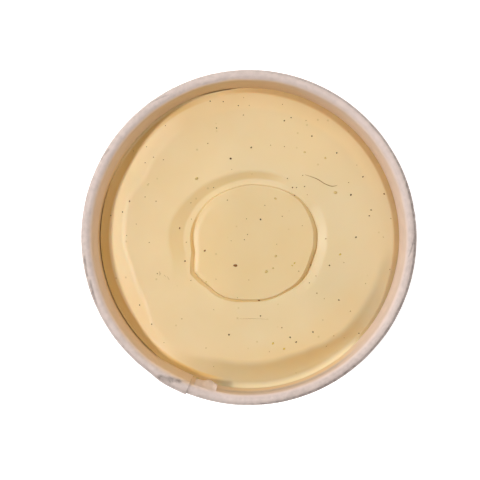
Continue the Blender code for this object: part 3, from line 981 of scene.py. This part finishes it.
class CreamTop:
    """Where each point of the ice cream's top lies, in metres, how soft it is there, and where light, shade
    and highlights are painted on it.
    """

    # Rings of points inside the plug, by its edge, over the field and beside the board
    inner_rings = 26
    coarse_in, fine, coarse_out = 14, 34, 26
    field_rings = 28
    edge_rings = 84
    plug_rings = coarse_in + fine + coarse_out
    rings = inner_rings + plug_rings + field_rings + edge_rings
    # How far the rings by the plug's edge reach inside and outside it, how far the finest do, and how
    # wide the band beside the board is
    before, after = 3.0 * MM, 8.0 * MM
    finest = 0.85 * MM
    by_board = 11.5 * MM

    def __init__(self, shape, tub):
        self.shape = shape
        self.profile = TubProfile(tub)
        self.plug = Vector((shape.plug_x, shape.plug_y))

    def wall(self, angle):
        return self.profile.filmed_face(self.shape.level, angle)

    def plug_edge(self, heading):
        """Radius of the plug's outline round its own centre, with one drawn-out corner."""
        corner, half_width = 205.5, 17.0
        share = max(0.0, 1 - turn_between(heading, corner) / half_width)
        return round_the_tub(heading, PLUG_EDGE) * MM + self.shape.plug_corner * share**1.2

    def crease(self, heading, beyond):
        """Depth of the crease: its broad side faces right, whichever side of the plug it is on."""
        half = round_the_tub(heading, CREASE_WIDTH) * MM / 2
        if abs(beyond) >= half:
            return 0.0
        lowest = 0.8 * half * math.cos(math.radians(heading))
        steep = self.shape.crease_slope * round_the_tub(heading, CREASE_STRENGTH)
        depth = steep * (half + abs(lowest))
        if beyond < lowest:
            return depth * (beyond + half) / (half + lowest)
        return depth * (half - beyond) / (half - lowest)

    def near_plug(self, heading, beyond):
        """Height over the field that the plug, its crease and its moat add at a point."""
        half = round_the_tub(heading, CREASE_WIDTH) * MM / 2
        rounding = round_the_tub(heading, PLUG_ROUNDING) * MM
        plug = self.shape.plug_dome - rounding * max(0.0, 1 + beyond / (2.6 * MM)) ** 2
        depth = round_the_tub(heading, MOAT_DEPTH) * MM
        floor = half + round_the_tub(heading, MOAT_FLOOR) * MM
        slope = round_the_tub(heading, MOAT_SLOPE) * MM
        climbed = (bend(beyond - floor, 0.3 * MM) - bend(beyond - floor - slope, 0.5 * MM)) / slope
        outside = -depth * (1 - climbed)
        across = min(1.0, max(0.0, (beyond + half) / (2 * half)))
        level = outside if beyond > half else plug * (1 - across) + outside * across
        return level - self.crease(heading, beyond)

    def near_wall(self, spot):
        """Height over the field of the left bevel, the right shoulder and the lower right dip."""
        angle = spot.angle
        bevel = bend(spot.reach - round_the_tub(angle, BEVEL_START) * MM, 1.0 * MM)
        bevel -= bend(spot.reach - BEVEL_END * MM, 0.6 * MM)
        height = -self.shape.bevel_slope * spot.on(BEVELLED) * bevel
        shoulder_start = round_the_tub(angle, SHOULDER_START) * MM
        shoulder = bend(spot.reach - shoulder_start, 0.25 * MM)
        height -= self.shape.shoulder_slope * spot.on(SHOULDERED) * shoulder
        # The field rises a little towards the shoulder
        rise = 0.03 * spot.on(SHOULDERED)
        brow = shoulder_start - 0.5 * MM
        stops = ((36.5 * MM, 0.0), (39.5 * MM, rise), (brow, rise), (shoulder_start, 0.0))
        height += fall(spot.reach, stops)
        dip_start = round_the_tub(angle, DIP_START) * MM
        wall = self.wall(angle)
        foot = wall - round_the_tub(angle, MENISCUS_WIDTH) * MM
        steepest = min(dip_start + 2.6 * MM, foot - 1 * MM)
        drawn_up = self.shape.meniscus_slope * round_the_tub(angle, MENISCUS)
        dip = -round_the_tub(angle, DIP_SLOPE)
        stops = ((dip_start, 0.0), (steepest, dip), (foot, 0.0), (wall, drawn_up))
        return height + fall(spot.reach, stops)

    def gap(self, angle):
        """Width of the crevice between ice cream and board: open on the left, and a little at the top.

        Elsewhere the ice cream reaches just into the film on the board.
        """
        in_film = 0.03
        return (0.26 * stretch(angle, *OPEN_LEFT) + 0.28 * stretch(angle, *OPEN_TOP) - in_film) * MM

    def height(self, point):
        spot = Spot(point, self)
        swell = 0.03 * MM * noise.noise(Vector((point.x, point.y, 0)) / (11 * MM))
        swell -= 0.5 * MM * (spot.reach / (38 * MM)) ** 2
        return self.shape.level + self.near_plug(spot.heading, spot.beyond) + self.near_wall(spot) + swell

    def softened(self, point):
        """How much the ice cream has softened: most in the crease, on the shoulder and by the board. In the
        crease, on the shoulder, in the dip, on the moat's outer slope and in the rim's cast shadow it is
        partly painted shade.
        """
        spot = Spot(point, self)
        plug = 0.2 * smooth(-spot.beyond / MM)
        # The crease, shoulder, dip, band and moat shares are partly painted shade; the band lies in the
        # rim's cast shadow
        crease = 0.45 * spot.in_crease()
        shoulder = 0.36 * spot.on(SHOULDERED) * spot.past(SHOULDER_START, 0.5)
        dip = 0.43 * round_the_tub(spot.angle, DIP_SLOPE) / 0.6 * spot.past(DIP_START, 2.5)
        band = 0.85 * spot.on(CAST_SHADOW_BAND) * spot.past(BEVEL_END - 0.8 * spot.on(BEVELLED), 0.8)
        top = 0.1 * spot.on(DRIED_TOP) * spot.past(36, 4)
        # A little painted shade over the field's lower right
        field = 0.14 * spot.on(SHADED_FIELD) * spot.past(30, 6)
        share = max(plug, crease, shoulder, dip, band, self.shaded_moat_slope(spot), top, field)
        return share * (1 - self.painted_highlight(point))

    def shaded_moat_slope(self, spot):
        """Softened colour painted as shade on the moat's outer slope, which faces away from the light."""
        half = round_the_tub(spot.heading, CREASE_WIDTH) * MM / 2
        inner = half + round_the_tub(spot.heading, MOAT_FLOOR) * MM
        outer = inner + round_the_tub(spot.heading, MOAT_SLOPE) * MM
        on_slope = smooth((spot.beyond - inner) / (0.5 * MM)) * smooth((outer - spot.beyond) / (1.0 * MM))
        return 0.32 * on_slope * stretch(spot.heading, *SHADED_MOAT)

    def lit_tone(self, point):
        """Painted light and shade: the paler tone most in the left of the field, the darker tone in the
        dip, on the shoulder and in the crease.
        """
        spot = Spot(point, self)
        # Paler towards the left of the middle: painted light
        middle = 0.8 + 0.2 * smooth(-point.x / (14 * MM))
        field = 0.01 * round_the_tub(spot.angle, FIELD_LIGHTNESS)
        share = middle + (field - middle) * spot.past(16, 12)
        # Painted light by the upper right edge, painted shade on the shoulder, in the dip and in the crease
        share += 0.2 * spot.on(LIT_EDGE) * spot.past(37.5, 3)
        share -= 0.32 * spot.on(SHOULDERED) * spot.past(SHOULDER_START, 0.5)
        share -= 1.2 * round_the_tub(spot.angle, DIP_SLOPE) * spot.past(DIP_START, 2.5)
        share -= 0.2 * spot.in_crease()
        return max(0.0, min(1.0, share))

    def painted_highlight(self, point):
        """How pale the ice cream is painted: a painted highlight where it is drawn up the board, painted
        light where it touches the board at the upper left, and a painted highlight on the bevel.
        """
        spot = Spot(point, self)
        wall = self.wall(spot.angle) / MM
        # Painted highlight on the meniscus, and painted light in the shaded corner at the upper left
        drawn_up = spot.on(MENISCUS_HIGHLIGHT) * spot.past(wall - 2.1, 1.8)
        drawn_up += 0.35 * spot.on(LIT_CORNER) * spot.past(wall - 1.2, 0.7)
        bevel_start = round_the_tub(spot.angle, BEVEL_START)
        # Painted highlight of the key light on the bevel
        bevel_highlight = 0.85 * spot.on(BEVEL_HIGHLIGHT) * spot.past(bevel_start - 0.9, 1.8)
        return max(drawn_up, bevel_highlight * smooth((BEVEL_END * MM - spot.reach) / (0.8 * MM)))

    def flat_place(self, ring, heading):
        """Where a ring crosses a heading, seen from above: rings crowd at the plug's edge and the wall."""
        toward = around(heading, 1.0).xy
        edge = self.plug + toward * self.plug_edge(heading)
        if ring <= self.inner_rings:
            reach = self.plug_edge(heading) - self.before
            return self.plug + toward * reach * ring / self.inner_rings
        ring -= self.inner_rings
        outward = toward * self.wall(heading) - edge
        far = outward.length - self.by_board
        outward.normalize()
        if ring <= self.plug_rings:
            return edge + self.step_from_edge(ring, toward, outward)
        ring -= self.plug_rings
        if ring <= self.field_rings:
            return edge + outward * (self.after + (far - self.after) * ring / self.field_rings)
        ring -= self.field_rings
        return edge + outward * (far + self.by_board * ring / self.edge_rings)

    def step_from_edge(self, ring, toward, outward):
        """The step from the plug's edge to one of its own rings."""
        if ring <= self.coarse_in:
            return toward * (-self.before + (self.before - self.finest) * ring / self.coarse_in)
        ring -= self.coarse_in
        if ring <= self.fine:
            step = -self.finest + 2 * self.finest * ring / self.fine
            return (toward if step < 0 else outward) * step
        ring -= self.fine
        return outward * (self.finest + (self.after - self.finest) * ring / self.coarse_out)

    def place(self, ring, heading):
        flat = self.flat_place(ring, heading)
        top = self.height(flat)
        # The last 2 mm are stretched to meet the board at their own height, or to leave the crevice
        stretched = 2 * MM
        angle = direction_of(flat)
        near = self.wall(angle) - stretched
        if flat.length > near:
            end = self.profile.filmed_face(top, angle) - self.gap(angle)
            flat *= (near + (flat.length - near) * (end - near) / stretched) / flat.length
        return Vector((flat.x, flat.y, top))


class MESH_OT_ice_cream(bpy.types.Operator):
    """Fills the tub with ice cream and shapes its top"""

    bl_idname = "mesh.ice_cream"
    bl_label = "Ice cream"

    def execute(self, context):
        shape = context.scene.ice_cream_shape
        top = CreamTop(shape, context.scene.tub_shape)
        wall = top.wall(0.0)
        start_fresh()
        # A line from the axis to the wall, spun round
        bpy.ops.mesh.primitive_grid_add(
            x_subdivisions=top.rings, y_subdivisions=1, size=1, location=(0.5, 0, 0)
        )
        bpy.ops.object.transform_apply()
        bpy.ops.object.mode_set(mode="EDIT")
        select_points(lambda place: place.y < 0)
        bpy.ops.mesh.delete(type="VERT")
        bpy.ops.mesh.select_all(action="SELECT")
        bpy.ops.transform.translate(value=(0, -0.5, 0))
        bpy.ops.transform.resize(value=(wall, 1, 1), center_override=(0, 0, 0))
        bpy.ops.mesh.spin(steps=shape.columns, angle=math.tau, **TUB_AXIS)
        bpy.ops.mesh.select_all(action="SELECT")
        bpy.ops.mesh.remove_doubles(threshold=0.0002 * MM)
        # Down the side to the bottom disc
        select_points(lambda place: place.xy.length > wall - 0.001 * MM)
        bpy.ops.mesh.extrude_region_move(TRANSFORM_OT_translate={"value": (0, 0, CREAM_FOOT)})
        shrink = (top.profile.inner_face(CREAM_FOOT) - 0.02 * MM) / wall
        bpy.ops.transform.resize(value=(shrink, shrink, 1))
        bpy.ops.mesh.edge_face_add()
        bpy.ops.object.mode_set(mode="OBJECT")
        self.shape_top(context.object, top)
        turn_faces_outwards()
        # Only the edge to the side is sharp
        bpy.ops.object.shade_smooth_by_angle(angle=math.radians(75))
        material = vanilla_ice_cream(context.scene.tub_colours)
        finish_piece("ice_cream_fill", material, "ice_cream")
        return {"FINISHED"}

    def shape_top(self, piece, top):
        """Moves every point of the flat disc to its place on the ice cream's relief."""
        wall = top.wall(0.0)
        for point in piece.data.vertices:
            on_disc = point.co.z < 1 * MM
            if on_disc:
                ring = round(point.co.xy.length / wall * top.rings)
                point.co = top.place(ring, direction_of(point.co))
        # The soft share is partly painted shade, the next share painted light and shade, the thin share a
        # painted highlight
        paint(piece, "soft", lambda place: top.softened(place.xy))
        paint(piece, "lit_tone", lambda place: top.lit_tone(place.xy))
        paint(piece, "thin", lambda place: top.painted_highlight(place.xy))


# Larger grains, as mm right of and above the tub's axis and mm across
SEEDS = (
    (-5.4, 23.5, 0.62), (0.7, 26.8, 0.48), (10.6, 34.8, 0.42), (12.6, 35.7, 0.34),
    (18.8, 30.2, 0.4), (26.2, 25.2, 0.4), (30.4, 12.7, 0.52), (31.9, 0.1, 0.46),
    (24.0, -8.3, 0.42), (26.8, -18.6, 0.45), (3.5, 5.4, 0.46), (-19.0, -7.0, 0.44),
    (-35.5, 10.8, 0.42), (-37.6, 7.6, 0.42), (-41.2, 6.6, 0.36), (-5.9, -28.9, 0.46),
    (12.3, -29.7, 0.46), (14.1, -31.1, 0.46), (19.1, -28.1, 0.44), (32.9, -28.6, 0.36),
    (34.0, 18.1, 0.44), (35.9, 6.5, 0.42), (36.4, 8.2, 0.42), (-10.5, 14.9, 0.3),
    (-11.5, 40.6, 0.34), (-3.1, 39.3, 0.34), (-9.6, 32.6, 0.34), (-7.6, 40.5, 0.32),
    (-1.3, -0.6, 0.28), (-0.4, 0.9, 0.28), (13.0, 14.9, 0.38), (14.2, 14.9, 0.3),
    (16.6, 15.2, 0.3), (11.5, 17.6, 0.32), (13.6, 12.5, 0.4), (3.5, -23.3, 0.35),
    (-28.9, -25.8, 0.36), (-32.5, -20.1, 0.36), (18.6, -8.2, 0.36), (18.0, -13.5, 0.28),
)
FLAKES = ((-4.0, -8.3, 1.0), (-13.1, -3.9, 0.6), (3.0, -18.6, 0.7), (-20.6, 2.8, 0.5), (40.3, 13.0, 0.5))
SUNK = (
    (5.2, -10.1, 0.85), (7.2, -9.1, 0.5), (-15.5, 17.6, 0.9), (25.8, 13.4, 0.9),
    (7.9, 11.6, 0.7), (8.0, -5.5, 0.7), (22.8, 23.7, 0.6), (16.6, 25.4, 0.6),
)
OLIVE = (
    (27.2, -5.0, 0.6), (7.2, -31.5, 0.65), (10.5, -33.1, 0.6), (-12.7, -13.2, 0.4), (13.6, -7.6, 0.55),
    (12.9, -8.3, 0.4),
)
# Fine fibres, as their width and the places they pass through, in mm
FIBRES = (
    (0.2, ((16.8, 18.7), (20.4, 17.4), (22.9, 15.9), (24.8, 15.3), (26.3, 15.5))),
    (0.14, ((-26.6, -10.1), (-26.4, -10.7), (-26.5, -11.3))),
    (0.14, ((-25.2, -11.1), (-24.7, -11.7))),
    (0.14, ((-24.3, -11.6), (-23.7, -12.5))),
    (0.06, ((-3.4, -24.2), (0.8, -24.1), (5.8, -24.3))),
)
# Seeds too fine to place one by one: how many, how far out they reach and how clear they lie, in mm
FINE_COUNT = 64
FINE_REACH = 43.5
FINE_CLEAR = 2.5


class MESH_OT_vanilla_grains(bpy.types.Operator):
    """Scatters the vanilla seeds, flakes and fibres over the ice cream"""

    bl_idname = "mesh.vanilla_grains"
    bl_label = "Vanilla grains"

    def execute(self, context):
        colours = context.scene.tub_colours
        top = CreamTop(context.scene.ice_cream_shape, context.scene.tub_shape)
        draw = random.Random(11)
        # Piece, its grains, and its material's name, colour and roughness
        kinds = (
            ("vanilla_seeds", SEEDS, "vanilla_seed", colours.seed, 0.7),
            ("fine_seeds", self.fine_seeds(draw), "fine_seed", colours.fibre, 0.5),
            ("pod_flakes", FLAKES, "pod_flake", colours.pod, 0.5),
            ("sunk_seeds", SUNK, "sunk_seed", colours.sunk, 0.4),
            ("olive_flakes", OLIVE, "olive_flake", colours.olive, 0.4),
        )
        for name, grains, finish, rgb, roughness in kinds:
            self.scatter(top, name, grains, grain_material(finish, rgb, roughness), draw)
        self.fibres(top, grain_material("pod_fibre", colours.fibre, 0.5))
        return {"FINISHED"}

    def fine_seeds(self, draw):
        """The finest seeds, spread at random clear of each other and of the larger ones."""
        placed = [Vector(grain[:2]) for grain in SEEDS + FLAKES + SUNK + OLIVE]
        fine = []
        while len(fine) < FINE_COUNT:
            reach = FINE_REACH * math.sqrt(draw.random())
            place = around(draw.uniform(0, 360), reach).xy
            if min((place - other).length for other in placed) > FINE_CLEAR:
                placed.append(place)
                fine.append((place.x, place.y, draw.uniform(0.2, 0.34)))
        return fine

    def scatter(self, top, name, grains, material, draw):
        """One piece of many grains, each a little long, flat and uneven."""
        start_fresh()
        made = []
        for x, y, size in grains:
            place = Vector((x, y)) * MM
            bpy.ops.mesh.primitive_ico_sphere_add(
                subdivisions=2,
                radius=size / 2 * MM,
                location=(place.x, place.y, top.height(place)),
                rotation=(0, 0, draw.uniform(0, math.tau)),
                scale=(1.2, draw.uniform(0.8, 1.1), 0.4),
            )
            grain = bpy.context.object
            for point in grain.data.vertices:
                point.co *= draw.uniform(0.85, 1.12)
            made.append(grain)
        join_smooth(made)
        finish_piece(name, material, None)

    def fibres(self, top, material):
        """Fibres lie on the ice cream, half sunk, thinner at both ends."""
        start_fresh()
        made = []
        for width, route in FIBRES:
            bpy.ops.curve.primitive_bezier_curve_add()
            curve = bpy.context.object.data
            points = curve.splines[0].bezier_points
            points.add(len(route) - 2)
            for k, (x, y) in enumerate(route):
                place = Vector((x, y)) * MM
                points[k].co = (place.x, place.y, top.height(place))
                points[k].handle_left_type = "AUTO"
                points[k].handle_right_type = "AUTO"
                points[k].radius = 0.4 if k in (0, len(route) - 1) else 1.0
            curve.bevel_depth = width / 2 * MM
            curve.bevel_resolution = 2
            curve.use_fill_caps = True
            bpy.ops.object.convert(target="MESH")
            made.append(bpy.context.object)
        join_smooth(made)
        finish_piece("pod_fibres", material, None)


class SCENE_OT_studio(bpy.types.Operator):
    """Sets the tub on a pale floor under soft light, with the camera straight above it"""

    bl_idname = "scene.tub_studio"
    bl_label = "Studio"

    def execute(self, context):
        studio = context.scene.studio
        self.floor(context, studio)
        self.lights(context, studio)
        self.camera(context, studio)
        context.scene.view_settings.view_transform = "Standard"
        return {"FINISHED"}

    def floor(self, context, studio):
        """A matt white sheet, lit from beneath, just under the tub."""
        start_fresh()
        bpy.ops.mesh.primitive_plane_add(size=4.0, location=(0, 0, -0.02 * MM))
        floor = context.object
        floor.name = "floor"
        inputs = {
            "Base Color": opaque(context.scene.tub_colours.floor),
            "Roughness": 0.9,
            "Emission Color": WHITE,
            "Emission Strength": studio.floor_glow,
        }
        floor.data.materials.append(finish_material(new_material("matt_white_floor")[0], inputs))

    def lights(self, context, studio):
        """The key light, two screens, three low screens, and a little light from all round."""
        low, width = studio.wash_height, studio.screen_size
        self.sun("key", studio.key, studio.key_from, studio.key_height, studio.key_size)
        self.sun("right_fill", studio.right_fill, studio.right_from, studio.right_height, width)
        self.sun("top_fill", studio.top_fill, studio.top_from, studio.top_height, width)
        self.sun("upper_wash", studio.upper_wash, studio.upper_from, low, width)
        self.sun("left_wash", studio.left_wash, studio.left_from, low, width)
        self.sun("back_wash", studio.back_wash, studio.back_from, low, width)
        world = bpy.data.worlds.new("room")
        world.use_nodes = True
        feed(world, world.node_tree.nodes["Background"], {"Color": WHITE, "Strength": studio.room})
        context.scene.world = world

    def sun(self, name, strength, coming_from, height, size):
        direction = around(math.degrees(coming_from), math.cos(height), math.sin(height))
        bpy.ops.object.light_add(type="SUN", location=direction)
        sun = bpy.context.object
        sun.name = name
        sun.data.energy = strength
        sun.data.angle = size
        sun.rotation_euler = direction.to_track_quat("Z", "Y").to_euler()

    def camera(self, context, studio):
        """Looks straight down, and sees the view's width at the rim's height."""
        height = context.scene.tub_shape.height + studio.camera_rise
        bpy.ops.object.camera_add(location=(studio.camera_x, studio.camera_y, height), rotation=(0, 0, 0))
        camera = context.object
        camera.name = "camera"
        camera.data.sensor_width = 36
        camera.data.lens = camera.data.sensor_width * studio.camera_rise / studio.view_width
        context.scene.camera = camera


class VIEW3D_PT_ice_cream_tub(bpy.types.Panel):
    """Lists the pieces of the tub in the order they are made"""

    bl_label = "Ice Cream Tub"
    bl_idname = "VIEW3D_PT_ice_cream_tub"
    bl_space_type = "VIEW_3D"
    bl_region_type = "UI"
    bl_category = "Ice Cream Tub"

    def draw(self, context):
        for piece in PIECES:
            self.layout.operator(piece.bl_idname)


SETTINGS = {
    "tub_shape": TubShape,
    "ice_cream_shape": IceCreamShape,
    "tub_colours": TubColours,
    "studio": Studio,
}
PIECES = (
    MESH_OT_board_sleeve,
    MESH_OT_board_tongue,
    MESH_OT_bottom_disc,
    MESH_OT_ice_cream,
    MESH_OT_vanilla_grains,
    SCENE_OT_studio,
)


def register():
    for name, group in SETTINGS.items():
        bpy.utils.register_class(group)
        setattr(bpy.types.Scene, name, PointerProperty(type=group))
    for operator in PIECES:
        bpy.utils.register_class(operator)
    bpy.utils.register_class(VIEW3D_PT_ice_cream_tub)


def unregister():
    bpy.utils.unregister_class(VIEW3D_PT_ice_cream_tub)
    for operator in reversed(PIECES):
        bpy.utils.unregister_class(operator)
    for name, group in SETTINGS.items():
        delattr(bpy.types.Scene, name)
        bpy.utils.unregister_class(group)


def main():
    register()
    bpy.ops.mesh.board_sleeve()
    bpy.ops.mesh.board_tongue()
    bpy.ops.mesh.bottom_disc()
    bpy.ops.mesh.ice_cream()
    bpy.ops.mesh.vanilla_grains()
    bpy.ops.scene.tub_studio()


if __name__ == "__main__":
    main()
